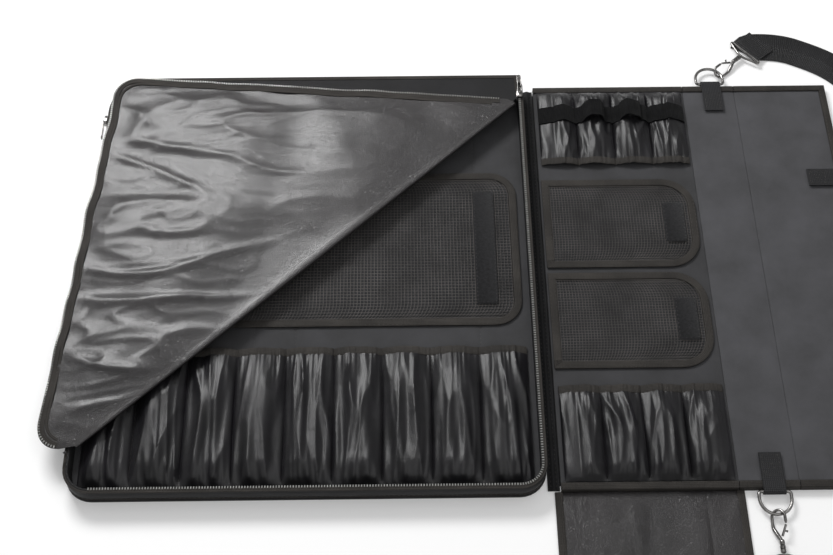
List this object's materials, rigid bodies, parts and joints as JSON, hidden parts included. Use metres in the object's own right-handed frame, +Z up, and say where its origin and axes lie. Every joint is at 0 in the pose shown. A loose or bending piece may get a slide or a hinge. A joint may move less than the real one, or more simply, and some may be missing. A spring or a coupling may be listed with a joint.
{
  "type": "chef knife case",
  "caption": "Open flat: a zip-covered tray of gathered knife pockets with three folding panels, mesh flaps, a guard flap and a shoulder strap on snap hooks.",
  "frame": {"origin": "centre of the tray's underside, on the surface the case lies on", "axes": "+X from the tray to the outer flap, +Y from the front edge to the back edge, +Z up"},
  "size_m": [0.9102, 0.7108, 0.0299],
  "materials": {
    "board": "stiff board covered in black nylon",
    "lining": "matt dark grey lining cloth",
    "rim": "padded black nylon gusset",
    "binding": "woven tape",
    "nylon": "shiny black nylon",
    "vinyl": "grained dark vinyl",
    "net": "fine black net",
    "hook_loop": "hook-and-loop tape",
    "elastic": "ribbed elastic",
    "zip": "coil zip on black tape",
    "metal": "bright nickel plate",
    "webbing": "black woven webbing"
  },
  "bodies": {
    "tray": {"tray_board": "board", "tray_lining": "lining", "tray_rim": "rim", "rim_zip": "zip", "hinge_strip": "board", "knife_pocket_row": "nylon", "knife_pocket_binding": "binding", "cover_sewn": "rim", "side_zip": "zip"},
    "large_flap": {"large_flap_binding": "binding", "large_flap_net": "net", "large_flap_patch": "hook_loop"},
    "cover": {"cover_corner": "vinyl", "cover_corner_zip": "zip"},
    "slider": {"zip_slider": "metal"},
    "pull": {"zip_pull": "metal"},
    "side_runner": {"side_slider": "metal"},
    "side_grip": {"side_pull": "metal"},
    "middle_panel": {"middle_board": "board", "middle_lining": "lining", "middle_binding_back": "binding", "middle_binding_front": "binding", "tool_pocket_row": "nylon", "tool_pocket_binding": "binding", "elastic_band": "elastic", "front_pocket_row": "nylon", "front_pocket_binding": "binding"},
    "back_flap": {"back_flap_binding": "binding", "back_flap_net": "net", "back_flap_patch": "hook_loop"},
    "front_flap": {"front_flap_binding": "binding", "front_flap_net": "net", "front_flap_patch": "hook_loop"},
    "guard_flap": {"guard_sheet": "vinyl", "guard_binding": "binding"},
    "spine_panel": {"spine_board": "board", "spine_lining": "lining", "spine_binding_back": "binding", "spine_binding_front": "binding", "back_tab": "webbing", "front_tab": "webbing", "back_eye": "metal", "front_eye": "metal", "shoulder_strap": "webbing"},
    "outer_flap": {"outer_board": "board", "outer_lining": "lining", "outer_binding": "binding", "closing_tab_back": "webbing", "closing_tab_front": "webbing"},
    "ring_back": {"back_ring": "metal"},
    "hook_back": {"back_hook": "metal"},
    "gate_back": {"back_gate": "metal"},
    "ring_front": {"front_ring": "metal"},
    "hook_front": {"front_hook": "metal"},
    "gate_front": {"front_gate": "metal"}
  },
  "joints": [
    {"name": "middle_fold", "type": "hinge", "parent": "tray", "child": "middle_panel", "pos_m": [0.237, 0, 0.0063], "axis": [0, -1, 0], "range_deg": [0, 90]},
    {"name": "spine_fold", "type": "hinge", "parent": "middle_panel", "child": "spine_panel", "pos_m": [0.403, 0, 0.0078], "axis": [0, -1, 0], "range_deg": [0, 90]},
    {"name": "outer_fold", "type": "hinge", "parent": "spine_panel", "child": "outer_flap", "pos_m": [0.46, 0, 0.0078], "axis": [0, -1, 0], "range_deg": [0, 90]},
    {"name": "cover_fold", "type": "hinge", "parent": "tray", "child": "cover", "pos_m": [-0.225, -0.204, 0.0248], "axis": [0.7349, 0.6781, 0], "range_deg": [0, 180]},
    {"name": "zip_slide", "type": "slide", "parent": "tray", "child": "slider", "axis": [0, -1, 0], "range_m": [0, 0.428]},
    {"name": "zip_pull_swing", "type": "hinge", "parent": "slider", "child": "pull", "pos_m": [0.2204, 0.2137, 0.0285], "axis": [1, 0, 0], "range_deg": [0, 170]},
    {"name": "side_zip_slide", "type": "slide", "parent": "tray", "child": "side_runner", "axis": [0, -1, 0], "range_m": [0, 0.185]},
    {"name": "side_pull_swing", "type": "hinge", "parent": "side_runner", "child": "side_grip", "pos_m": [-0.2319, 0.1898, 0.0138], "axis": [0, 0, -1], "range_deg": [0, 150]},
    {"name": "large_flap_lift", "type": "hinge", "parent": "tray", "child": "large_flap", "pos_m": [-0.2055, 0, 0.0066], "axis": [0, 1, 0], "range_deg": [-2, 0]},
    {"name": "back_flap_lift", "type": "hinge", "parent": "middle_panel", "child": "back_flap", "pos_m": [0.239, 0, 0.0073], "axis": [0, 1, 0], "range_deg": [-120, 0]},
    {"name": "front_flap_lift", "type": "hinge", "parent": "middle_panel", "child": "front_flap", "pos_m": [0.239, 0, 0.0073], "axis": [0, 1, 0], "range_deg": [-120, 0]},
    {"name": "guard_fold", "type": "hinge", "parent": "middle_panel", "child": "guard_flap", "pos_m": [0.32, -0.23565, 0.008], "axis": [1, 0, 0], "range_deg": [-160, 0]},
    {"name": "back_ring_lift", "type": "hinge", "parent": "spine_panel", "child": "ring_back", "pos_m": [0.435, 0.2388, 0.0065], "axis": [1, 0, 0], "range_deg": [0, 120]},
    {"name": "back_hook_swing", "type": "hinge", "parent": "ring_back", "child": "hook_back", "pos_m": [0.435, 0.2458, 0.00626], "axis": [0, 0.0349, 0.9994], "range_deg": [-25, 25]},
    {"name": "back_gate_open", "type": "hinge", "parent": "hook_back", "child": "gate_back", "pos_m": [0.46184, 0.26967, 0.00622], "axis": [0.3957, -0.4438, 0.804], "range_deg": [0, 18]},
    {"name": "front_ring_lift", "type": "hinge", "parent": "spine_panel", "child": "ring_front", "pos_m": [0.435, -0.2388, 0.0065], "axis": [-1, 0, 0], "range_deg": [0, 120]},
    {"name": "front_hook_swing", "type": "hinge", "parent": "ring_front", "child": "hook_front", "pos_m": [0.435, -0.2458, 0.00626], "axis": [0, -0.0349, 0.9994], "range_deg": [-25, 25]},
    {"name": "front_gate_open", "type": "hinge", "parent": "hook_front", "child": "gate_front", "pos_m": [0.43602, -0.2817, 0.0058], "axis": [-0.6157, -0.0275, 0.7875], "range_deg": [0, 18]}
  ]
}
